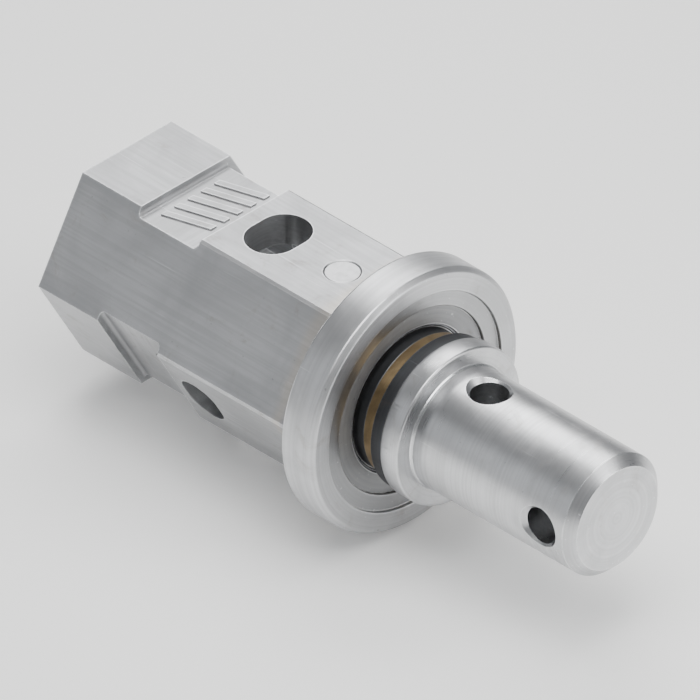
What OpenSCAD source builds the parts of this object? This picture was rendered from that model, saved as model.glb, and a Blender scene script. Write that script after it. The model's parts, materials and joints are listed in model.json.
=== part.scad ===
/* [Hub] */
// Width across the flats of the hexagonal hub
hub_af = 104; // [102:1:106]
// Length of the hexagon, from the open end to the flange
hub_len = 174.7; // [172:0.1:178]
// Width across the flats of the hexagonal socket
socket_af = 68.6; // [68.6:0.1:69]
// Distance from the open end to the shallow pockets
pocket_x = 40; // [36:1:42]
// Length of each pocket along the axis
pocket_len = 40; // [36:1:42]
// Depth of each pocket
pocket_depth = 4.7; // [3:0.1:5]
// Radius in the bottom corners of a pocket
pocket_fillet = 2.4; // [1:0.1:2.6]
// Diameter that the hexagon's corners are turned to ahead of the pockets
corner_d = 119; // [118.8:0.1:120]

/* [Pin slots] */
// Distance from the open end to the middle of the upright slots
slot_x = 102.7; // [100:0.1:104]
// Width of the upright slots along the axis
slot_w = 27.5; // [24:0.5:28]
// Length of the upright slots across the flat
slot_len = 36; // [32:0.5:38]
// Distance from the open end to the middle of the slanted slots
side_slot_x = 96.5; // [95:0.1:99]
// Width of the slanted slots along the axis
side_slot_w = 22; // [18:0.5:24]
// Length of the slanted slots across the flat
side_slot_len = 30; // [26:0.5:32]

/* [Stop flange] */
// Outer diameter of the flange
flange_d = 141; // [138:0.5:146]
// Thickness of the flange
flange_t = 21.1; // [20.5:0.1:22]
// Diameter of the shallow recess in the flange's face
recess_d = 116.6; // [112:0.1:120]
// Depth of that recess
recess_depth = 2; // [1:0.1:2.5]
// Diameter of the hub's round spigot, which the flange sits on
spigot_d = 99.4; // [98:0.1:100]
// Length of the spigot
spigot_len = 17.3; // [17.1:0.1:17.5]
// Leg of the weld behind the flange
weld_leg = 7; // [4:0.5:8]

/* [Output shaft] */
// Diameter of the round output shaft
shaft_d = 65; // [64.8:0.1:65.1]
// Distance from the hub's open end to the shaft's far end
overall_len = 332.5; // [330:0.5:340]
// Chamfer on the shaft's far end
shaft_chamfer = 5; // [2:0.5:6]
// Diameter of the two cross holes
cross_d = 19.2; // [18:0.1:20]
// Chamfer round the mouth of each cross hole
cross_chamfer = 1.2; // [0.8:0.1:1.5]
// Distance from the hub's open end to the upright cross hole
cross_x_upright = 246; // [244:0.5:250]
// Distance from the hub's open end to the level cross hole
cross_x_level = 311; // [300:0.5:312]

/* [Neck] */
// Distance from the hub's open end to the first neck ring
ring_x = 190.7; // [190.5:0.1:191]
// Diameter of the thrust collar
collar_d = 84.2; // [83:0.1:86]
// How far the shaft slides into the hub
float_travel = 13; // [8:0.5:13]

/* [Lock] */
// Distance from the hub's open end to the lock button
lock_x = 146.3; // [146:0.1:147]
// Diameter of the lock button
button_d = 18; // [17:0.1:18]
// How far the lock button is pushed in to free the shaft
button_travel = 5.5; // [5.4:0.1:5.6]

/* [Hidden] */
fine = 96;
medium = 48;
overrun = 5;

// Hub
hub_r = hub_af / 2;
socket_r = socket_af / 2;
spigot_x = hub_len + spigot_len;
lead_in = 7;
wide = 2 * hub_af;

// Counterbore at the hub's front, with the bush and the ring that holds it
mouth_r = 39.6;
mouth_x = 165;
bush_x = 165.1;
bush_len = 23.1;
bush_bore_r = 38.1;
snap_t = 2.5;
snap_x = bush_x + bush_len + 0.1;
snap_groove_r = 41.6;
fit_gap = 0.05;

// Flange
flange_x = hub_len;
flange_front = flange_x + flange_t;
rim_chamfer_x = 2.7;
rim_chamfer_r = 2.4;
rim_back_chamfer = 1;

// Shaft
shaft_r = shaft_d / 2;
root_af = socket_af - 0.3;
root_r = root_af / 2;
root_corner_r = bush_bore_r - 0.2;
root_x = 132;
root_end = 164.5;
root_chamfer = 2;
neck_back_r = root_r - 0.15;
neck_r = bush_bore_r - 0.2;
neck_x = mouth_x + float_travel + 0.5;
oring_r = 1.75;
oring_groove = 2.2;
oring_x = 184.8;
oring_floor_r = 34.5;
ring_seat_r = shaft_r + 0.5;
ring_bore_r = ring_seat_r + fit_gap;
ring_step = 7.6;
seal_ring_r = 37.4;
wear_ring_r = 38;
buffer_ring_r = 41;
collar_x = ring_x + 3 * ring_step;
collar_r = collar_d / 2;
collar_len = 11.4;
collar_round = 1.2;
collar_lip = 1.3;
collar_end = collar_x + collar_len;

// Lock
button_r = button_d / 2;
button_top = hub_r - 0.3;
button_t = 3.7;
button_base = button_top - button_t;
button_bore_r = button_r + 0.08;
button_bore_chamfer = 0.5;
button_groove_r = button_r - 1.65;
button_groove_w = 1.8;
ledge_z = 36.8;
stem_r = 5;
stem_hole_r = stem_r + 0.15;
land_r = 7;
land_top = socket_r - 0.3;
land_t = 4.5;
screw_r = 3;
screw_len = 2.4;
seat_t = 0.8;
skin_t = 5;
track_r = land_r + 0.3;
track_floor = land_top - land_t - button_travel - 0.5;
track_narrow_r = stem_r + 0.4;
small_oring_r = 0.75;

// Lock spring: pressed solid, its coils are (turns + 1) wires high, and must fit under the pressed button
spring_wire_r = 0.6;
spring_r = 7.2;
spring_turns = 2.5;
spring_steps = 16;
spring_sides = 6;
spring_low = ledge_z + seat_t + spring_wire_r;
spring_high = button_base - spring_wire_r;

module bar(r, x0, x1)
  translate([x0, 0, 0]) rotate([0, 90, 0]) cylinder(h = x1 - x0, r = r, $fn = fine);

module taper(r0, r1, x0, x1)
  translate([x0, 0, 0]) rotate([0, 90, 0]) cylinder(h = x1 - x0, r1 = r0, r2 = r1, $fn = fine);

// A hexagonal bar along the axis, with flats facing up and down
module hex_bar(af, x0, x1)
  translate([x0, 0, 0]) rotate([0, 90, 0]) rotate([0, 0, 30])
    cylinder(h = x1 - x0, r = af / sqrt(3), $fn = 6);

module tube(r_out, r_in, x0, x1)
  difference() {
    bar(r_out, x0, x1);
    bar(r_in, x0 - overrun, x1 + overrun);
  }

// An upright slot with round ends, which runs across the flat and right through
module slot(x, w, len)
  for (side = [-1, 1]) {
    translate([x, side * (len - w) / 2, 0]) cylinder(h = wide, d = w, center = true, $fn = medium);
    translate([x, 0, 0]) cube([w, len - w, wide], center = true);
  }

// A shallow pocket across the upper flat, with rounded bottom corners
module pocket() {
  floor_z = hub_r - pocket_depth;
  translate([pocket_x + pocket_fillet, -hub_af / 2, floor_z])
    cube([pocket_len - 2 * pocket_fillet, hub_af, hub_r]);
  translate([pocket_x, -hub_af / 2, floor_z + pocket_fillet])
    cube([pocket_len, hub_af, hub_r]);
  for (x = [pocket_x + pocket_fillet, pocket_x + pocket_len - pocket_fillet])
    translate([x, 0, floor_z + pocket_fillet]) rotate([90, 0, 0])
      cylinder(h = hub_af, r = pocket_fillet, center = true, $fn = medium);
}

// Plain slanted bars, cast proud of the upper pocket's floor
module marks() {
  count = 5;
  bar_w = 4;
  pitch = 9;
  slant = 4;
  rise = 0.9;
  x0 = pocket_x + 7;
  x1 = pocket_x + pocket_len - 7;
  for (i = [0 : count - 1])
    translate([0, (i - (count - 1) / 2) * pitch, hub_r - pocket_depth - fit_gap])
      linear_extrude(height = rise)
        polygon([[x0, -slant - bar_w / 2], [x1, slant - bar_w / 2], [x1, slant + bar_w / 2],
                 [x0, -slant + bar_w / 2]]);
}

module hex_hub() color("silver") {
  difference() {
    union() {
      hex_bar(hub_af, 0, hub_len);
      bar(spigot_d / 2, mouth_x, spigot_x);
    }
    tube(hub_af, corner_d / 2, pocket_x + pocket_len, hub_len + overrun);
    for (angle = [0, -60, 120, 180]) rotate([angle, 0, 0]) pocket();
    hex_bar(socket_af, -overrun, mouth_x + 1);
    taper(socket_r + lead_in + 1, socket_r - 1, -1, lead_in + 1);
    bar(mouth_r, mouth_x, spigot_x + overrun);
    bar(snap_groove_r, snap_x - 0.05, snap_x + snap_t + 0.05);
    slot(slot_x, slot_w, slot_len);
    rotate([-60, 0, 0]) slot(side_slot_x, side_slot_w, side_slot_len);
    translate([lock_x, 0, ledge_z]) cylinder(h = hub_r, r = button_bore_r, $fn = fine);
    translate([lock_x, 0, hub_r - button_bore_chamfer])
      cylinder(h = 2 * button_bore_chamfer, r1 = button_bore_r, r2 = button_bore_r + 2 * button_bore_chamfer,
               $fn = fine);
    translate([lock_x, 0, 0]) cylinder(h = hub_r, r = stem_hole_r, $fn = fine);
  }
  marks();
}

module stop_flange() color("gainsboro")
  difference() {
    union() {
      taper(flange_d / 2 - rim_back_chamfer, flange_d / 2, flange_x, flange_x + rim_back_chamfer);
      bar(flange_d / 2, flange_x + rim_back_chamfer, flange_front - rim_chamfer_x);
      taper(flange_d / 2, flange_d / 2 - rim_chamfer_r, flange_front - rim_chamfer_x, flange_front);
    }
    bar(spigot_d / 2 + fit_gap, flange_x - overrun, flange_front + overrun);
    bar(recess_d / 2, flange_front - recess_depth, flange_front + overrun);
  }

// A fillet of weld that follows the hexagon behind the flange
module flange_weld() color("dimgray")
  difference() {
    translate([hub_len - weld_leg, 0, 0]) rotate([0, 90, 0]) rotate([0, 0, 30])
      cylinder(h = weld_leg, r1 = (hub_af + 1) / sqrt(3), r2 = (hub_af + 2 * weld_leg) / sqrt(3), $fn = 6);
    hex_bar(hub_af + 2 * fit_gap, 0, hub_len + overrun);
  }

module guide_bush() color("goldenrod")
  tube(mouth_r - fit_gap, bush_bore_r, bush_x, bush_x + bush_len);

// A split ring of square section, with no lugs
module snap_ring() color("slategray")
  difference() {
    tube(snap_groove_r - 0.2, bush_bore_r + 0.2, snap_x, snap_x + snap_t);
    translate([snap_x + snap_t / 2, 0, -snap_groove_r]) cube([2 * snap_t, 8, snap_groove_r], center = true);
  }

module spring_seat() color("gray")
  translate([lock_x, 0, ledge_z])
    difference() {
      cylinder(h = seat_t, r = button_bore_r - 0.2, $fn = medium);
      translate([0, 0, -1]) cylinder(h = seat_t + 2, r = stem_hole_r, $fn = medium);
    }

// One point of the spring's wire: t runs from 0 to 1 along it, phi goes round the wire
function wire_point(t, phi) =
  let (turn = 360 * spring_turns * t, reach = spring_r + spring_wire_r * cos(phi))
  [reach * cos(turn), reach * sin(turn),
   spring_low + (spring_high - spring_low) * t + spring_wire_r * sin(phi)];

module button_spring() {
  count = spring_turns * spring_steps;
  points = [for (i = [0 : count]) for (j = [0 : spring_sides - 1])
    wire_point(i / count, 360 * j / spring_sides)];
  walls = [for (i = [0 : count - 1]) for (j = [0 : spring_sides - 1])
    let (k = (j + 1) % spring_sides)
    [i * spring_sides + j, i * spring_sides + k, (i + 1) * spring_sides + k, (i + 1) * spring_sides + j]];
  first = [for (j = [spring_sides - 1 : -1 : 0]) j];
  last = [for (j = [0 : spring_sides - 1]) count * spring_sides + j];
  color("steelblue") translate([lock_x, 0, 0])
    polyhedron(points = points, faces = concat([first], walls, [last]));
}

module lock_button() color("lightgray")
  translate([lock_x, 0, button_base])
    difference() {
      union() {
        cylinder(h = button_t - 0.4, r = button_r, $fn = fine);
        translate([0, 0, button_t - 0.4]) cylinder(h = 0.4, r1 = button_r, r2 = button_r - 0.4, $fn = fine);
      }
      translate([0, 0, -1]) cylinder(h = screw_len + 1.1, r = screw_r + fit_gap, $fn = medium);
      translate([0, 0, (button_t - button_groove_w) / 2])
        difference() {
          cylinder(h = button_groove_w, r = button_r + 1, $fn = medium);
          translate([0, 0, -1]) cylinder(h = button_groove_w + 2, r = button_groove_r, $fn = medium);
        }
    }

module button_oring() color("black")
  translate([lock_x, 0, button_base + button_t / 2])
    rotate_extrude($fn = medium) translate([button_r - small_oring_r, 0])
      circle(r = small_oring_r, $fn = 24);

module lock_stem() color("gray")
  translate([lock_x, 0, land_top - land_t]) {
    cylinder(h = land_t, r = land_r, $fn = medium);
    cylinder(h = button_base - land_top + land_t, r = stem_r, $fn = medium);
    cylinder(h = button_base - land_top + land_t + screw_len, r = screw_r, $fn = medium);
  }

// The track in the shaft's root: the lock's wide foot runs in it, and only its narrow stem passes the end
module lock_track() {
  x_far = lock_x + float_travel;
  depth = root_r - track_floor + overrun;
  translate([lock_x, -track_r, track_floor]) cube([float_travel, 2 * track_r, depth]);
  for (x = [lock_x, x_far]) translate([x, 0, track_floor]) cylinder(h = depth, r = track_r, $fn = medium);
  translate([root_x - overrun, -track_narrow_r, track_floor])
    cube([lock_x - root_x + overrun, 2 * track_narrow_r, depth]);
  translate([root_x - overrun, -track_r, track_floor])
    cube([lock_x - root_x + overrun, 2 * track_r, root_r - skin_t - track_floor]);
}

// An upright cross hole through the shaft, with a chamfer at each mouth
module cross_hole(x) {
  hole_r = cross_d / 2;
  translate([x, 0, 0]) cylinder(h = 2 * shaft_d, r = hole_r, center = true, $fn = fine);
  for (side = [0, 180]) translate([x, 0, 0]) rotate([side, 0, 0])
    translate([0, 0, shaft_r - cross_chamfer - 1.5])
      cylinder(h = 2 * cross_chamfer + 1.5, r1 = hole_r, r2 = hole_r + 2 * cross_chamfer + 1.5, $fn = fine);
}

// The root's corners are turned down, so that it passes the guide bush once the lock is pressed
module drive_shaft() color("silver")
  difference() {
    union() {
      intersection() {
        hex_bar(root_af, root_x, root_end);
        bar(root_corner_r, root_x, root_end);
        union() {
          taper(root_r + 1, root_r + 1 + 3 * root_chamfer, root_x, root_x + 3 * root_chamfer);
          bar(hub_r, root_x + 3 * root_chamfer, root_end);
        }
      }
      bar(neck_back_r, root_end, neck_x + overrun);
      bar(neck_r, neck_x, ring_x);
      bar(ring_seat_r, root_end - overrun, collar_end + collar_lip / 2);
      taper(ring_seat_r, shaft_r, collar_end + collar_lip / 2, collar_end + collar_lip);
      bar(shaft_r, root_end, overall_len - shaft_chamfer);
      taper(shaft_r, shaft_r - shaft_chamfer, overall_len - shaft_chamfer, overall_len);
    }
    tube(neck_r + overrun, oring_floor_r, oring_x - oring_groove, oring_x + oring_groove);
    lock_track();
    cross_hole(cross_x_upright);
    rotate([90, 0, 0]) cross_hole(cross_x_level);
  }

module neck_oring() color("black")
  translate([oring_x, 0, 0]) rotate([0, 90, 0]) rotate_extrude($fn = fine)
    translate([oring_floor_r + fit_gap + oring_r, 0]) circle(r = oring_r, $fn = medium);

module seal_ring() color("dimgray")
  tube(seal_ring_r, ring_bore_r, ring_x, ring_x + ring_step);

module wear_ring() color("goldenrod")
  tube(wear_ring_r, ring_bore_r, ring_x + ring_step, ring_x + 2 * ring_step);

module buffer_ring() color("dimgray")
  tube(buffer_ring_r, ring_bore_r, ring_x + 2 * ring_step, collar_x);

// The collar's outline on one side of the axis, with rounded rims
module collar_outline() {
  depth = collar_r - ring_bore_r;
  translate([ring_bore_r, 0]) square([depth - collar_round, collar_len]);
  translate([ring_bore_r, collar_round]) square([depth, collar_len - 2 * collar_round]);
  for (y = [collar_round, collar_len - collar_round])
    translate([collar_r - collar_round, y]) circle(r = collar_round, $fn = medium);
}

module thrust_collar() color("silver") {
  translate([collar_x, 0, 0]) rotate([0, 90, 0]) rotate_extrude($fn = fine) collar_outline();
  difference() {
    taper(shaft_r + collar_lip, ring_bore_r, collar_end - 1, collar_end + collar_lip / 2);
    bar(ring_bore_r, 0, overall_len);
  }
}

hex_hub();
stop_flange();
flange_weld();
guide_bush();
snap_ring();
spring_seat();
button_spring();
lock_button();
button_oring();
lock_stem();
drive_shaft();
neck_oring();
seal_ring();
wear_ring();
buffer_ring();
thrust_collar();
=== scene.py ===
"""Looks for the quick change hex drive adapter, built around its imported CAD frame."""
import json
import math
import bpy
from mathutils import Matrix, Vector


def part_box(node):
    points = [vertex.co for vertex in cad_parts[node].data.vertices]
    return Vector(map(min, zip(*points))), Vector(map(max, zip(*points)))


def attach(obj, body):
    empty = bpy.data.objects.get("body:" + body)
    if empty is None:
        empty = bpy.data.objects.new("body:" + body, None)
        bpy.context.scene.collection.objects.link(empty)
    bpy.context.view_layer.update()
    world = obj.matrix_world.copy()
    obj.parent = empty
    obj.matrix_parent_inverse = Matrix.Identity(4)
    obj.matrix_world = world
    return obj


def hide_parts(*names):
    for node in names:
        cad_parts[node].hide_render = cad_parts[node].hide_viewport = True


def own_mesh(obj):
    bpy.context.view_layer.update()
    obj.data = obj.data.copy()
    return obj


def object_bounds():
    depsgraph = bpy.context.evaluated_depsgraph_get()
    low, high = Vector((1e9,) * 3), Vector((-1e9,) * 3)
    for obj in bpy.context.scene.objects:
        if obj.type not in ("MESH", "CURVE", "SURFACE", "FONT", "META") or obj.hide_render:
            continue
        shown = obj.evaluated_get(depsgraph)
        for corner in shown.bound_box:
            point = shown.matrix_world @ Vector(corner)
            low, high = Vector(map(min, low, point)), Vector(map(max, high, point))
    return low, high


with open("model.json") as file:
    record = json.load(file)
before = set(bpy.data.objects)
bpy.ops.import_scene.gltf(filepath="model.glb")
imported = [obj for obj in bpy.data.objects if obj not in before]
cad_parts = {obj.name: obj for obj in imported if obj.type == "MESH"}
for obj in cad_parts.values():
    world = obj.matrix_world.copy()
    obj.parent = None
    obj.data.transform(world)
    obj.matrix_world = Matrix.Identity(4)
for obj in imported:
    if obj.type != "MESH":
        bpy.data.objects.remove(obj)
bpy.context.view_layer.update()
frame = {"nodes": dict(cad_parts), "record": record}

from types import SimpleNamespace

import bmesh
import bpy
from mathutils import Matrix, Vector, noise

MM = 0.001
NODES = frame["nodes"]

# The hub's profile behind the flange: a hexagon whose corners are turned to a circle
HUB_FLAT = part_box("hex_hub")[1].z
HUB_CORNER = 59.5 * MM
POCKET_DEPTH = 4.7 * MM
FLANGE_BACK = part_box("stop_flange")[0].x
FLANGE_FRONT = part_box("stop_flange")[1].x
WELD_LEG = FLANGE_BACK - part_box("flange_weld")[0].x

# The shallow recess in the flange's front face
RECESS_RADIUS = 58.3 * MM
RECESS_DEPTH = 2.0 * MM


# ---------------------------------------------------------------- node helpers

# Where Blender's Mix node keeps its two inputs and its result, for colours and for vectors
COLOR_A, COLOR_B, COLOR_RESULT = 6, 7, 2
VECTOR_A, VECTOR_B, VECTOR_RESULT = 4, 5, 1

# The cosine between a face and its rounded neighbourhood, on a flat face and on a sharp edge
COSINE_FLAT = 0.999
COSINE_SHARP = 0.93
EDGE_SAMPLES = 6
HOLLOW_SAMPLES = 8
SQUARE_ENOUGH = 0.7


class Graph:
    """A material's node tree, with short calls for the nodes used here."""

    def __init__(self, name):
        self.material = bpy.data.materials.new(name)
        self.material.use_nodes = True
        self.tree = self.material.node_tree
        self.tree.nodes.clear()
        self.shader = self.add("ShaderNodeBsdfPrincipled")
        output = self.add("ShaderNodeOutputMaterial")
        self.link(self.shader.outputs[0], output.inputs["Surface"])

    def add(self, kind, **settings):
        node = self.tree.nodes.new(kind)
        for key, value in settings.items():
            setattr(node, key, value)
        return node

    def link(self, source, target):
        self.tree.links.new(source, target)

    def put(self, socket, value):
        """Links a socket, or sets a plain value."""
        if isinstance(value, bpy.types.NodeSocket):
            self.link(value, socket)
        else:
            socket.default_value = value

    def math(self, operation, a, b=0.0, clamp=False):
        node = self.add("ShaderNodeMath", operation=operation, use_clamp=clamp)
        self.put(node.inputs[0], a)
        self.put(node.inputs[1], b)
        return node.outputs[0]

    def join(self, x, y, z):
        node = self.add("ShaderNodeCombineXYZ")
        for socket, value in zip(node.inputs, (x, y, z)):
            self.put(socket, value)
        return node.outputs[0]

    def place(self):
        """The point on the part, in metres, split into x, y and z."""
        coords = self.add("ShaderNodeTexCoord")
        split = self.add("ShaderNodeSeparateXYZ")
        self.link(coords.outputs["Object"], split.inputs[0])
        return coords.outputs["Object"], split.outputs

    def noise(self, vector, scale, detail=4.0, roughness=0.55, distortion=0.0):
        node = self.add("ShaderNodeTexNoise")
        self.put(node.inputs["Vector"], vector)
        node.inputs["Scale"].default_value = scale
        node.inputs["Detail"].default_value = detail
        node.inputs["Roughness"].default_value = roughness
        node.inputs["Distortion"].default_value = distortion
        return node.outputs["Fac"]

    def ramp(self, value, low, high, start=0.0, end=1.0):
        """Maps low..high to start..end, clamped and smooth."""
        node = self.add("ShaderNodeMapRange", interpolation_type="SMOOTHSTEP")
        for socket, number in zip(node.inputs, (value, low, high, start, end)):
            self.put(socket, number)
        return node.outputs[0]

    def mix(self, factor, a, b):
        node = self.add("ShaderNodeMix", data_type="RGBA")
        self.put(node.inputs["Factor"], factor)
        self.put(node.inputs[COLOR_A], a)
        self.put(node.inputs[COLOR_B], b)
        return node.outputs[COLOR_RESULT]

    def mix_vector(self, factor, a, b):
        node = self.add("ShaderNodeMix", data_type="VECTOR")
        self.put(node.inputs["Factor"], factor)
        self.put(node.inputs[VECTOR_A], a)
        self.put(node.inputs[VECTOR_B], b)
        return node.outputs[VECTOR_RESULT]

    def bump(self, height, strength, distance, normal=None):
        node = self.add("ShaderNodeBump")
        node.inputs["Strength"].default_value = strength
        node.inputs["Distance"].default_value = distance
        self.put(node.inputs["Height"], height)
        if normal is not None:
            self.link(normal, node.inputs["Normal"])
        return node.outputs[0]

    def edges(self, radius):
        """About 1 on a sharp outer edge and 0 on a flat face."""
        bevel = self.add("ShaderNodeBevel", samples=EDGE_SAMPLES)
        bevel.inputs["Radius"].default_value = radius
        geometry = self.add("ShaderNodeNewGeometry")
        dot = self.add("ShaderNodeVectorMath", operation="DOT_PRODUCT")
        self.link(bevel.outputs[0], dot.inputs[0])
        self.link(geometry.outputs["Normal"], dot.inputs[1])
        return self.ramp(dot.outputs["Value"], COSINE_FLAT, COSINE_SHARP)

    def square_to_x(self):
        """1 on a face square to the X axis, such as an end face, and 0 on one that runs along it."""
        geometry = self.add("ShaderNodeNewGeometry")
        split = self.add("ShaderNodeSeparateXYZ")
        self.link(geometry.outputs["Normal"], split.inputs[0])
        return self.math("GREATER_THAN", self.math("ABSOLUTE", split.outputs[0]), SQUARE_ENOUGH)

    def hollows(self, distance, lit=0.75, dark=0.25):
        """About 1 deep in a corner or hole and 0 in the open."""
        node = self.add("ShaderNodeAmbientOcclusion", samples=HOLLOW_SAMPLES)
        node.inputs["Distance"].default_value = distance
        return self.ramp(node.outputs["AO"], lit, dark)


def shade(color, factor):
    """A colour made lighter or darker, as Blender's four numbers."""
    return (color[0] * factor, color[1] * factor, color[2] * factor, 1.0)


# ---------------------------------------------------------------- materials

# The near black that hollows and crevices are darkened with: painted shade, partly dirt
SHADE_AND_DIRT = (0.050, 0.043, 0.037, 1.0)
STAIN = (0.23, 0.18, 0.13, 1.0)
# The near white laid on sharp edges: a painted highlight, partly metal rubbed bright by wear
WEAR_HIGHLIGHT = (0.88, 0.89, 0.90, 1.0)
STRAW = (0.60, 0.44, 0.21, 1.0)
BLUE = (0.17, 0.20, 0.30, 1.0)
# The light bronze laid on the bronze's rims: a painted highlight
BRONZE_HIGHLIGHT = (0.90, 0.74, 0.48, 1.0)
NITRILE = (0.018, 0.018, 0.019, 1.0)
DUST = (0.075, 0.07, 0.065, 1.0)
WELD_DARK = (0.16, 0.152, 0.145, 1.0)
WELD_LIGHT = (0.50, 0.48, 0.45, 1.0)
WELD_RUST = (0.30, 0.19, 0.10, 1.0)

# Drawn streaks are this much finer across than along, and end faces are rougher than the flats
STREAK_STRETCH = 0.025
SAWN_ROUGHNESS = 0.16

# How far a hollow's dirt and painted shade reach, how far a tight crevice's painted shade reaches, and
# how wide a worn edge with its painted highlight is
HOLLOW_DIRT_SHADE_REACH = 7.0 * MM
CREVICE_SHADE_REACH = 1.4 * MM
WEAR_AND_HIGHLIGHT_WIDTH = 1.1 * MM

# The weld's heat tint is whole at the near distance from the weld's root and gone at the far one
HEAT_NEAR_FLANGE = 5.0 * MM
HEAT_FAR_FLANGE = 14.0 * MM
HEAT_NEAR_HUB = 7.0 * MM
HEAT_FAR_HUB = 24.0 * MM
STRAW_STRENGTH = 0.15
BLUE_STRENGTH = 0.40
RECESS_DULLNESS = 0.42


def radius_from_axis(g, y, z):
    """Distance from the X axis."""
    return g.math("SQRT", g.math("ADD", g.math("MULTIPLY", y, y), g.math("MULTIPLY", z, z)))


def flat_distance(g, y, z):
    """Distance from the X axis, measured square to the nearest of the hexagon's flats."""
    side = g.math("MULTIPLY", y, math.cos(math.radians(30.0)))
    lift = g.math("MULTIPLY", z, 0.5)
    slanted = g.math("MAXIMUM", g.math("ABSOLUTE", g.math("ADD", side, lift)),
                     g.math("ABSOLUTE", g.math("SUBTRACT", side, lift)))
    return g.math("MAXIMUM", g.math("ABSOLUTE", z), slanted)


def tool_marks(g, finish, point, x, y, z):
    """Fine and broad machining marks: rings on turned faces, streaks on drawn ones."""
    if finish == "turned":
        at = g.join(x, radius_from_axis(g, y, z), 0.0)
        return g.noise(at, 2400.0, 2.0), g.noise(at, 620.0, 3.0)
    if finish == "ground":
        return g.noise(point, 2600.0, 4.0), g.noise(point, 300.0, 4.0)
    along = g.join(g.math("MULTIPLY", x, STREAK_STRETCH), y, z)
    across = g.join(x, g.math("MULTIPLY", y, STREAK_STRETCH), g.math("MULTIPLY", z, STREAK_STRETCH))
    reach = flat_distance(g, y, z)
    below_flat = g.math("LESS_THAN", reach, HUB_FLAT - 0.2 * POCKET_DEPTH)
    above_socket = g.math("GREATER_THAN", reach, HUB_FLAT - 1.5 * POCKET_DEPTH)
    in_pocket = g.math("MULTIPLY", below_flat, above_socket)
    pick = g.mix_vector(in_pocket, along, across)
    pick = g.mix_vector(g.square_to_x(), pick, g.join(x, radius_from_axis(g, y, z), 0.0))
    return g.noise(pick, 2200.0, 3.0), g.noise(pick, 560.0, 4.0)


def weld_heat(g, finish, x, y, z):
    """How near a point is to the weld: 0 beyond its tinted band, 1 at its toe."""
    behind = g.ramp(x, FLANGE_BACK + 1.0 * MM, FLANGE_BACK + 0.2 * MM)
    if finish == "turned":
        reach = g.ramp(flat_distance(g, y, z), HUB_FLAT + HEAT_FAR_FLANGE, HUB_FLAT + HEAT_NEAR_FLANGE)
    else:
        outside = g.ramp(flat_distance(g, y, z), HUB_FLAT - 3.0 * MM, HUB_FLAT - 1.0 * MM)
        near = g.ramp(x, FLANGE_BACK - HEAT_FAR_HUB, FLANGE_BACK - HEAT_NEAR_HUB)
        reach = g.math("MULTIPLY", outside, near)
    return g.math("MULTIPLY", behind, reach)


def recess_floor(g, x, y, z):
    """1 on the floor of the flange's shallow recess, which the driven hub never rubs bright."""
    inside = g.ramp(radius_from_axis(g, y, z), RECESS_RADIUS + 0.1 * MM, RECESS_RADIUS - 0.2 * MM)
    ahead = g.math("GREATER_THAN", x, FLANGE_FRONT - 2.5 * RECESS_DEPTH)
    below = g.math("LESS_THAN", x, FLANGE_FRONT - 0.5 * RECESS_DEPTH)
    return g.math("MULTIPLY", inside, g.math("MULTIPLY", ahead, below))


def steel_fields(g, finish, edge_glint_and_wear):
    """The patterns that steel's colour, roughness and relief are made of."""
    f = SimpleNamespace()
    point, f.place = g.place()
    f.fine, f.broad = tool_marks(g, finish, point, *f.place)
    f.cloud = g.noise(point, 24.0, 6.0, 0.6, 0.5)
    f.stain = g.noise(point, 62.0, 9.0, 0.68, 0.9)
    f.nicks = g.ramp(g.noise(point, 310.0, 2.0, 0.5), 0.735, 0.775)
    f.scratches = scratch_field(g, point)
    # Painted shade, partly dirt: hollows and tight crevices, found by ambient occlusion, are darkened
    f.dirt = g.hollows(HOLLOW_DIRT_SHADE_REACH)
    f.crevice = g.hollows(CREVICE_SHADE_REACH, 0.82, 0.40)
    # Painted highlight, partly wear: sharp edges, found by the bevel node, are lightened in patches
    edge = g.math("MULTIPLY", g.edges(WEAR_AND_HIGHLIGHT_WIDTH), 0.85 * edge_glint_and_wear)
    f.worn = g.math("MULTIPLY", edge, g.ramp(f.stain, 0.28, 0.52))
    return f


def flange_tone(g, f, tone, color, finish):
    """Adds the weld's heat tint and the dull floor of the flange's recess."""
    heat = g.math("MULTIPLY", weld_heat(g, finish, *f.place), g.ramp(f.cloud, 0.30, 0.65, 0.55, 1.0))
    tone = g.mix(g.ramp(heat, 0.10, 0.60, 0.0, STRAW_STRENGTH), tone, STRAW)
    tone = g.mix(g.ramp(heat, 0.60, 0.95, 0.0, BLUE_STRENGTH), tone, BLUE)
    return g.mix(g.math("MULTIPLY", recess_floor(g, *f.place), RECESS_DULLNESS), tone, shade(color, 0.42))


def steel_tone(g, f, color, finish, grime_and_shade, by_flange):
    """Clouded bare metal, then tool marks, stains, nicks, soiling with painted shade in hollows and
    crevices, scratches, and rubbed edges with a painted highlight.
    """
    tone = g.mix(g.ramp(f.cloud, 0.32, 0.68), shade(color, 0.84), shade(color, 1.08))
    tone = g.mix(g.math("MULTIPLY", g.ramp(f.broad, 0.38, 0.66), 0.42), tone, shade(color, 0.72))
    tone = g.mix(g.math("MULTIPLY", g.ramp(f.stain, 0.56, 0.70), 0.34 * grime_and_shade), tone, STAIN)
    if by_flange:
        tone = flange_tone(g, f, tone, color, finish)
    tone = g.mix(g.math("MULTIPLY", f.nicks, 0.55), tone, shade(color, 0.45))
    # Painted shade, partly dirt: hollows and tight crevices are darkened to near black
    tone = g.mix(g.math("MULTIPLY", f.dirt, 0.85 * grime_and_shade), tone, SHADE_AND_DIRT)
    tone = g.mix(g.math("MULTIPLY", f.crevice, 0.80), tone, SHADE_AND_DIRT)
    tone = g.mix(g.math("MULTIPLY", f.scratches, 0.6), tone, shade(color, 1.4))
    # Painted highlight, partly wear: the edges are lightened to near white
    return g.mix(f.worn, tone, WEAR_HIGHLIGHT)


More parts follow.
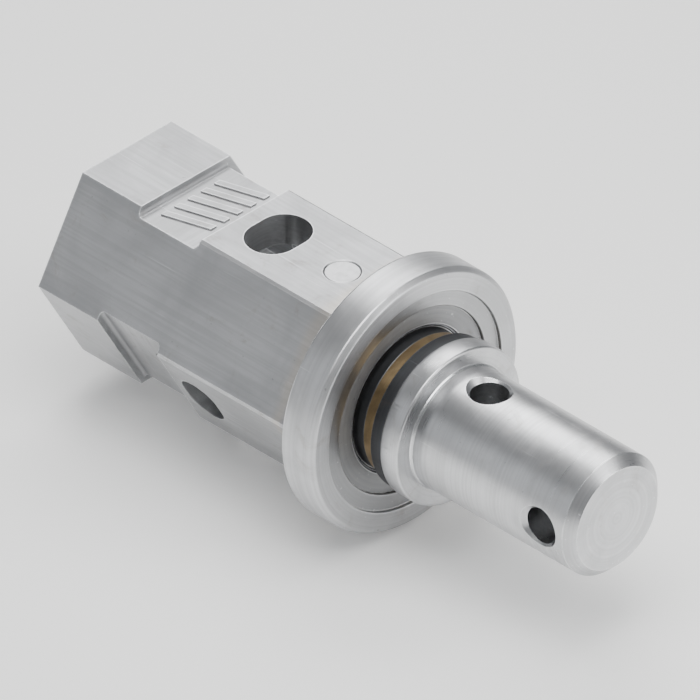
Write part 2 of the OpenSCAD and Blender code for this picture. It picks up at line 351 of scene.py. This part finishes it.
def steel_roughness(g, f, finish, roughness, grime_and_shade):
    """Rougher where the metal is marked, stained or dirty, and smoother on rubbed edges."""
    rough = g.math("ADD", roughness - 0.09, g.math("MULTIPLY", f.cloud, 0.12))
    rough = g.math("ADD", rough, g.math("MULTIPLY", f.broad, 0.12))
    rough = g.math("ADD", rough, g.math("MULTIPLY", g.ramp(f.stain, 0.5, 0.7), 0.12 * grime_and_shade))
    rough = g.math("ADD", rough, g.math("MULTIPLY", f.dirt, 0.25), clamp=True)
    if finish == "drawn":
        rough = g.math("ADD", rough, g.math("MULTIPLY", g.square_to_x(), SAWN_ROUGHNESS), clamp=True)
    return g.math("SUBTRACT", rough, g.math("MULTIPLY", f.worn, 0.10), clamp=True)


def steel_relief(g, f, groove):
    """Tool marks, with scratches and nicks cut into them."""
    normal = g.bump(f.fine, 0.5 * groove, 0.020 * MM)
    normal = g.bump(f.broad, 0.6 * groove, 0.050 * MM, normal)
    marks = g.math("MAXIMUM", f.scratches, f.nicks)
    return g.bump(g.math("SUBTRACT", 1.0, marks), 0.4, 0.050 * MM, normal)


def steel(name, color, finish, roughness, groove=0.5, edge_glint_and_wear=1.0, grime_and_shade=0.6, by_flange=False):
    """Bare machined steel. finish is turned (rings round X), drawn (streaks along X) or ground."""
    g = Graph(name)
    f = steel_fields(g, finish, edge_glint_and_wear)
    g.put(g.shader.inputs["Base Color"], steel_tone(g, f, color, finish, grime_and_shade, by_flange))
    g.put(g.shader.inputs["Roughness"], steel_roughness(g, f, finish, roughness, grime_and_shade))
    g.put(g.shader.inputs["Normal"], steel_relief(g, f, groove))
    g.shader.inputs["Metallic"].default_value = 1.0
    if finish == "turned":
        g.shader.inputs["Anisotropic"].default_value = 0.45
        tangent = g.add("ShaderNodeTangent", direction_type="RADIAL", axis="X")
        g.link(tangent.outputs[0], g.shader.inputs["Tangent"])
    return g.material


# Scratches run at these angles, and their pattern is stretched to make them long and thin
SCRATCH_ANGLES = (20.0, 75.0, 140.0)
SCRATCH_TILT = (1.0, 0.6, 1.0)
SCRATCH_SCALE = (14.0, 520.0, 520.0)


def scratch_field(g, point):
    """Sparse thin scratches that run several ways."""
    total = None
    for angle in SCRATCH_ANGLES:
        turn = g.add("ShaderNodeMapping")
        turn.inputs["Rotation"].default_value = [math.radians(angle * share) for share in SCRATCH_TILT]
        turn.inputs["Scale"].default_value = SCRATCH_SCALE
        g.link(point, turn.inputs["Vector"])
        line = g.ramp(g.noise(turn.outputs[0], 1.0, 2.0), 0.715, 0.765)
        total = line if total is None else g.math("MAXIMUM", total, line)
    return total


def bronze(name, color):
    """Turned bronze, with painted shade in its hollows and a painted highlight on its rims."""
    g = Graph(name)
    point, (x, y, z) = g.place()
    rings = g.noise(g.join(x, radius_from_axis(g, y, z), 0.0), 2000.0, 3.0)
    cloud = g.noise(point, 55.0, 7.0, 0.62, 0.6)
    # Masks for painted shade in the hollows and a painted highlight on the rims
    dirt = g.hollows(3 * MM)
    edge = g.edges(0.7 * MM)
    tone = g.mix(g.ramp(cloud, 0.34, 0.66), shade(color, 0.66), shade(color, 1.1))
    tone = g.mix(g.math("MULTIPLY", g.ramp(rings, 0.4, 0.7), 0.35), tone, shade(color, 0.6))
    # Painted shade in the hollows, partly dirt, and a painted highlight on the rims
    tone = g.mix(g.math("MULTIPLY", dirt, 0.85), tone, SHADE_AND_DIRT)
    tone = g.mix(g.math("MULTIPLY", edge, 0.6), tone, BRONZE_HIGHLIGHT)
    rough = g.math("ADD", 0.24, g.math("MULTIPLY", cloud, 0.22))
    g.put(g.shader.inputs["Base Color"], tone)
    g.put(g.shader.inputs["Roughness"], rough)
    g.put(g.shader.inputs["Normal"], g.bump(rings, 0.5, 0.03 * MM))
    g.shader.inputs["Metallic"].default_value = 1.0
    return g.material


def rubber(name):
    """Matt black nitrile with a little dust."""
    g = Graph(name)
    point, _ = g.place()
    grain = g.noise(point, 1600.0, 5.0, 0.7)
    dust = g.noise(point, 90.0, 6.0, 0.65)
    tone = g.mix(g.ramp(dust, 0.45, 0.75, 0.0, 0.6), NITRILE, DUST)
    g.put(g.shader.inputs["Base Color"], tone)
    g.put(g.shader.inputs["Roughness"], g.ramp(dust, 0.3, 0.8, 0.45, 0.75))
    g.put(g.shader.inputs["Normal"], g.bump(grain, 0.4, 0.08 * MM))
    return g.material


def weld_metal(name):
    """Scaly weld metal with a few rusty patches."""
    g = Graph(name)
    point, _ = g.place()
    scale = g.noise(point, 210.0, 8.0, 0.66, 0.7)
    heat = g.noise(point, 46.0, 4.0, 0.6, 0.5)
    crust = g.noise(point, 900.0, 4.0, 0.6)
    tone = g.mix(g.ramp(scale, 0.36, 0.66), WELD_DARK, WELD_LIGHT)
    tone = g.mix(g.ramp(heat, 0.48, 0.72, 0.0, 0.55), tone, WELD_RUST)
    # Painted shade, partly dirt: the bead's hollows are darkened
    tone = g.mix(g.math("MULTIPLY", g.hollows(1.6 * MM), 0.6), tone, SHADE_AND_DIRT)
    g.put(g.shader.inputs["Base Color"], tone)
    g.put(g.shader.inputs["Roughness"], g.ramp(scale, 0.3, 0.75, 0.30, 0.58))
    normal = g.bump(scale, 0.4, 0.15 * MM)
    g.put(g.shader.inputs["Normal"], g.bump(crust, 0.35, 0.04 * MM, normal))
    g.shader.inputs["Metallic"].default_value = 1.0
    return g.material


FLOOR_GLOW = 0.16


def floor_material():
    """Pale matt paper with a faint glow, so that it stays even and light."""
    g = Graph("floor_paper")
    point, _ = g.place()
    grain = g.noise(point, 900.0, 3.0)
    g.shader.inputs["Base Color"].default_value = (0.90, 0.90, 0.89, 1.0)
    g.shader.inputs["Roughness"].default_value = 0.9
    g.shader.inputs["Specular IOR Level"].default_value = 0.15
    g.shader.inputs["Emission Color"].default_value = (1.0, 1.0, 1.0, 1.0)
    g.shader.inputs["Emission Strength"].default_value = FLOOR_GLOW
    g.put(g.shader.inputs["Normal"], g.bump(grain, 0.05, 0.1 * MM))
    return g.material


HUB_GRAY = (0.47, 0.475, 0.485)
FLANGE_GRAY = (0.55, 0.555, 0.565)
SHAFT_GRAY = (0.60, 0.605, 0.615)
OXIDE_BLACK = (0.085, 0.087, 0.092)
BUTTON_GRAY = (0.56, 0.565, 0.575)
SPRING_GRAY = (0.30, 0.31, 0.34)
DULL_BRONZE = (0.46, 0.335, 0.185)

MATERIALS = {
    "hub_steel": steel("hub_steel", HUB_GRAY, "drawn", 0.38, 0.8, 1.0, 0.75, by_flange=True),
    "flange_steel": steel("flange_steel", FLANGE_GRAY, "turned", 0.33, 0.8, 1.0, 0.6, by_flange=True),
    "shaft_steel": steel("shaft_steel", SHAFT_GRAY, "turned", 0.27, 0.6, 0.9, 0.5),
    "ring_steel": steel("ring_steel", OXIDE_BLACK, "turned", 0.36, 0.8, 0.55, 0.4),
    "button_steel": steel("button_steel", BUTTON_GRAY, "ground", 0.34, 0.4, 0.8, 0.6),
    "spring_steel": steel("spring_steel", SPRING_GRAY, "ground", 0.32, 0.3, 0.5, 0.4),
    "bronze": bronze("bronze", DULL_BRONZE),
    "seal_rubber": rubber("seal_rubber"),
    "weld_metal": weld_metal("weld_metal"),
}


def dress(obj, slot):
    """Gives an object the material of one of the record's slots."""
    obj.data.materials.clear()
    obj.data.materials.append(MATERIALS[slot])


SHARP_ANGLE = math.radians(20.0)
FLAT_ANGLE = math.radians(0.8)
ROUNDED_ANGLE = 28.0
MERGE_DISTANCE = 0.002 * MM
ROUNDING_SEGMENTS = 3


def sharp_by_angle():
    """A modifier's node group that keeps every edge steeper than SHARP_ANGLE sharp."""
    group = bpy.data.node_groups.new("sharp_by_angle", "GeometryNodeTree")
    for way in ("INPUT", "OUTPUT"):
        group.interface.new_socket(name="Geometry", in_out=way, socket_type="NodeSocketGeometry")
    start = group.nodes.new("NodeGroupInput")
    end = group.nodes.new("NodeGroupOutput")
    angle = group.nodes.new("GeometryNodeInputMeshEdgeAngle")
    steep = group.nodes.new("FunctionNodeCompare")
    steep.data_type = "FLOAT"
    steep.operation = "GREATER_THAN"
    steep.inputs[1].default_value = SHARP_ANGLE
    mark = group.nodes.new("GeometryNodeSetShadeSmooth")
    mark.domain = "EDGE"
    mark.inputs["Shade Smooth"].default_value = False
    group.links.new(angle.outputs["Unsigned Angle"], steep.inputs[0])
    group.links.new(start.outputs[0], mark.inputs["Geometry"])
    group.links.new(steep.outputs[0], mark.inputs["Selection"])
    group.links.new(mark.outputs[0], end.inputs[0])
    return group


SHARP_GROUP = sharp_by_angle()


def soften(obj, width, angle):
    """Rounds a CAD node's edges that are steeper than angle, in degrees, by width, in metres."""
    weld = obj.modifiers.new("weld", "WELD")
    weld.merge_threshold = MERGE_DISTANCE
    flat = obj.modifiers.new("flat", "DECIMATE")
    flat.decimate_type = "DISSOLVE"
    flat.angle_limit = FLAT_ANGLE
    sharp = obj.modifiers.new("sharp", "NODES")
    sharp.node_group = SHARP_GROUP
    bevel = obj.modifiers.new("bevel", "BEVEL")
    bevel.width = width
    bevel.segments = ROUNDING_SEGMENTS
    bevel.limit_method = "ANGLE"
    bevel.angle_limit = math.radians(angle)
    bevel.use_clamp_overlap = True
    bevel.harden_normals = True


for row in frame["record"]["subparts"]:
    dress(NODES[row["node"]], row["material_slot"])

# How far each machined piece's edges are rounded, in millimetres
ROUNDING = {
    "hex_hub": 0.7, "stop_flange": 0.7, "lock_button": 0.25, "lock_stem": 0.3, "drive_shaft": 0.45,
    "seal_ring": 0.55, "wear_ring": 0.55, "buffer_ring": 0.6, "thrust_collar": 0.3, "guide_bush": 0.3,
    "snap_ring": 0.25, "spring_seat": 0.1,
}
# Only the hub's square and hexagon edges are rounded: its lead-in and turned corners stay crisp
STEEP_ONLY = {"hex_hub": 55.0}
for name, width in ROUNDING.items():
    soften(NODES[name], width * MM, STEEP_ONLY.get(name, ROUNDED_ANGLE))


# ---------------------------------------------------------------- new pieces

def add_piece(name, rings, closed):
    """A tube of quads through rings of points, which is closed into a loop or capped at both ends."""
    build = bmesh.new()
    rows = [[build.verts.new(point) for point in ring] for ring in rings]
    sides = len(rows[0])
    pairs = list(zip(rows, rows[1:]))
    if closed:
        pairs.append((rows[-1], rows[0]))
    for here, there in pairs:
        for i in range(sides):
            j = (i + 1) % sides
            build.faces.new((here[i], here[j], there[j], there[i]))
    if not closed:
        build.faces.new(rows[0])
        build.faces.new(rows[-1])
    bmesh.ops.recalc_face_normals(build, faces=build.faces)
    for face in build.faces:
        face.smooth = True
    mesh = bpy.data.meshes.new(name)
    build.to_mesh(mesh)
    build.free()
    piece = bpy.data.objects.new(name, mesh)
    bpy.context.scene.collection.objects.link(piece)
    return piece


BEAD_STEP = 0.5 * MM
BEAD_ARCS = 12
BEAD_SINK = 0.3 * MM
BEAD_CONVEX = 1.45
BEAD_WANDER = 0.07
WANDER_SCALE = 90.0
RIPPLE_PITCH = 2.5 * MM
RIPPLE_HEIGHT = 0.42 * MM
RIPPLE_BOW = 1.9 * MM
RIPPLE_WANDER = 0.35
RIPPLE_SHARPNESS = 0.7
RIPPLE_MIDLINE = 0.6

# The hub's outline is six flats and six short turned corners, each of which takes this run of the bead
SECTOR = math.pi / 3
HALF_FLAT = math.sqrt(HUB_CORNER ** 2 - HUB_FLAT ** 2)
CORNER_RUN = 5.6 * MM
SIDE_RUN = 2 * HALF_FLAT + CORNER_RUN
BEAD_LENGTH = 6 * SIDE_RUN


def hub_outline(share):
    """A point on the hub's outline and the way out from it. share runs from 0 to 1 round the hexagon."""
    edge_angle = math.atan2(HALF_FLAT, HUB_FLAT)
    side, along = divmod(share * 6 * SIDE_RUN, SIDE_RUN)
    facing = side * SECTOR
    if along <= 2 * HALF_FLAT:
        spot = Vector((0.0, along - HALF_FLAT, HUB_FLAT))
        out = facing
    else:
        part = (along - 2 * HALF_FLAT) / CORNER_RUN
        angle = edge_angle + part * (SECTOR - 2 * edge_angle)
        spot = Vector((0.0, HUB_CORNER * math.sin(angle), HUB_CORNER * math.cos(angle)))
        out = facing + part * SECTOR
    upward = Vector((0.0, 0.0, 1.0))
    return Matrix.Rotation(-facing, 3, "X") @ spot, Matrix.Rotation(-out, 3, "X") @ upward


def bead_ring(share, ripples):
    """The bead's outline at one place: a convex fillet that swells and dips with the ripples."""
    back = Vector((-1.0, 0.0, 0.0))
    spot, out = hub_outline(share)
    spot.x = FLANGE_BACK
    wander = noise.noise(spot * WANDER_SCALE)
    leg = WELD_LEG * (1.0 - BEAD_WANDER + BEAD_WANDER * wander)
    ring = [spot - back * BEAD_SINK - out * BEAD_SINK, spot + back * leg - out * BEAD_SINK]
    for k in range(BEAD_ARCS + 1):
        angle = 0.5 * math.pi * k / BEAD_ARCS
        middle = math.sin(2 * angle)
        phase = share * ripples + middle * RIPPLE_BOW / RIPPLE_PITCH + RIPPLE_WANDER * wander
        crest = (0.5 + 0.5 * math.cos(2 * math.pi * phase)) ** RIPPLE_SHARPNESS
        lift = RIPPLE_HEIGHT * (crest - RIPPLE_MIDLINE) * middle ** 0.5
        reach = leg * math.cos(angle) ** BEAD_CONVEX, leg * math.sin(angle) ** BEAD_CONVEX
        ring.append(spot + back * reach[0] + out * reach[1] + (back + out).normalized() * lift)
    ring.append(spot - back * BEAD_SINK + out * leg)
    return ring


def add_weld_bead():
    """A convex fillet weld with curved ripples, round the hub behind the flange."""
    steps = round(BEAD_LENGTH / BEAD_STEP)
    ripples = round(BEAD_LENGTH / RIPPLE_PITCH)
    bead = add_piece("weld_bead", [bead_ring(i / steps, ripples) for i in range(steps)], closed=True)
    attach(bead, "hub")
    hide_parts("flange_weld")
    dress(bead, "weld_metal")


COIL_TURNS = 2.5
COIL_WIRE = 0.6 * MM
COIL_STEPS = 48
COIL_SIDES = 16
COIL_FLAT_TURNS = 0.35
COIL_END_EASE = 0.25


def coil_climb(share):
    """How far up the coil its wire is, from 0 to 1, with nearly flat end turns."""
    flat = COIL_FLAT_TURNS / COIL_TURNS
    climb = min(max((share - flat / 2) / (1 - flat), 0.0), 1.0)
    eased = climb * climb * (3 - 2 * climb)
    return (1 - COIL_END_EASE) * climb + COIL_END_EASE * eased


def coil_ring(share, low, high):
    """The wire's outline at one place along the coil, inside the box from low to high."""
    angle = 2 * math.pi * COIL_TURNS * share
    out = Vector((math.cos(angle), math.sin(angle), 0.0))
    reach = (high.x - low.x) / 2 - COIL_WIRE
    spot = Vector(((low.x + high.x) / 2, (low.y + high.y) / 2, 0.0)) + out * reach
    spot.z = low.z + COIL_WIRE + coil_climb(share) * (high.z - low.z - 2 * COIL_WIRE)
    around = [2 * math.pi * j / COIL_SIDES for j in range(COIL_SIDES)]
    return [spot + COIL_WIRE * (out * math.cos(a) + Vector((0, 0, math.sin(a)))) for a in around]


def add_spring_coil():
    """A round-wire coil with flattened end turns."""
    low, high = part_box("button_spring")
    count = round(COIL_TURNS * COIL_STEPS)
    rings = [coil_ring(i / count, low, high) for i in range(count + 1)]
    coil = add_piece("spring_coil", rings, closed=False)
    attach(coil, "hub")
    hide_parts("button_spring")
    dress(coil, "spring_steel")
    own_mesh(coil)


add_weld_bead()
add_spring_coil()


# ---------------------------------------------------------------- stage, lights and camera

FLOOR_HALF = 6.0
FLOOR_GAP = 0.2 * MM


def add_floor():
    """A square of paper just under the part."""
    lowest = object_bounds()[0][2]
    mesh = bpy.data.meshes.new("floor")
    build = bmesh.new()
    bmesh.ops.create_grid(build, x_segments=1, y_segments=1, size=FLOOR_HALF)
    build.to_mesh(mesh)
    build.free()
    floor = bpy.data.objects.new("floor", mesh)
    bpy.context.scene.collection.objects.link(floor)
    floor.location = (0.0, 0.0, lowest - FLOOR_GAP)
    mesh.materials.append(floor_material())


# Where the lights aim, and each light's place, size, watts and colour
MIDDLE = Vector((0.16, 0.0, 0.0))
WHITE = (1.0, 1.0, 1.0)
COOL_WHITE = (0.94, 0.97, 1.0)
LIGHTS = {
    "key": ((-0.45, 0.55, 0.95), (0.9, 0.6), 9.5, WHITE),
    "top": ((0.35, -0.25, 1.25), (1.1, 1.1), 22.0, WHITE),
    "front": ((-0.35, -1.15, 0.50), (0.9, 0.7), 1.2, COOL_WHITE),
    "right": ((1.05, 0.35, 0.45), (0.5, 0.9), 6.0, WHITE),
}


def add_light(name, place, size, watts, color):
    """A soft rectangular light that points at the middle of the part."""
    lamp = bpy.data.lights.new(name, "AREA")
    lamp.shape = "RECTANGLE"
    lamp.size, lamp.size_y = size
    lamp.energy = watts
    lamp.color = color
    light = bpy.data.objects.new(name, lamp)
    bpy.context.scene.collection.objects.link(light)
    light.location = place
    light.rotation_euler = (MIDDLE - Vector(place)).to_track_quat("-Z", "Y").to_euler()


# The studio's brightness overhead and at the horizon, and how high the pale band reaches
STUDIO_DIM = 0.27
STUDIO_PALE = 0.80
PALE_UP_TO = math.sin(math.radians(4.0))
STUDIO_COLOR = (0.95, 0.97, 1.0, 1.0)


def add_world():
    """A dim even studio, with a narrow pale band at the horizon behind the floor."""
    world = bpy.data.worlds.new("studio")
    bpy.context.scene.world = world
    world.use_nodes = True
    tree = world.node_tree
    background = tree.nodes["Background"]
    background.inputs["Color"].default_value = STUDIO_COLOR
    coords = tree.nodes.new("ShaderNodeTexCoord")
    split = tree.nodes.new("ShaderNodeSeparateXYZ")
    fade = tree.nodes.new("ShaderNodeMapRange")
    fade.interpolation_type = "SMOOTHSTEP"
    for socket, value in zip(fade.inputs, (0.0, 0.0, PALE_UP_TO, STUDIO_PALE, STUDIO_DIM)):
        socket.default_value = value
    tree.links.new(coords.outputs["Generated"], split.inputs[0])
    tree.links.new(split.outputs[2], fade.inputs[0])
    tree.links.new(fade.outputs[0], background.inputs["Strength"])


# The view is along the isometric diagonal, with the socket's end to the upper left. The view's centre is
# SOCKET_TO_CENTRE away from the socket's end, to the right and up
VIEW_RIGHT = Vector((1.0, 1.0, 0.0)).normalized()
VIEW_UP = Vector((-1.0, 1.0, 2.0)).normalized()
VIEW_BACK = Vector((1.0, -1.0, 1.0)).normalized()
VIEW_WIDTH = 0.3357
SOCKET_TO_CENTRE = (0.1070, -0.0550)
CAMERA_DISTANCE = 4.0
CAMERA_REACH = 20.0


def add_camera():
    """A camera with no perspective, as in a true isometric view."""
    data = bpy.data.cameras.new("camera")
    data.type = "ORTHO"
    data.ortho_scale = VIEW_WIDTH
    data.clip_end = CAMERA_REACH
    camera = bpy.data.objects.new("camera", data)
    bpy.context.scene.collection.objects.link(camera)
    centre = VIEW_RIGHT * SOCKET_TO_CENTRE[0] + VIEW_UP * SOCKET_TO_CENTRE[1]
    turn = Matrix((VIEW_RIGHT, VIEW_UP, VIEW_BACK)).transposed()
    camera.matrix_world = Matrix.Translation(centre + VIEW_BACK * CAMERA_DISTANCE) @ turn.to_4x4()
    bpy.context.scene.camera = camera


add_floor()
add_world()
for name, light in LIGHTS.items():
    add_light(name, *light)
add_camera()
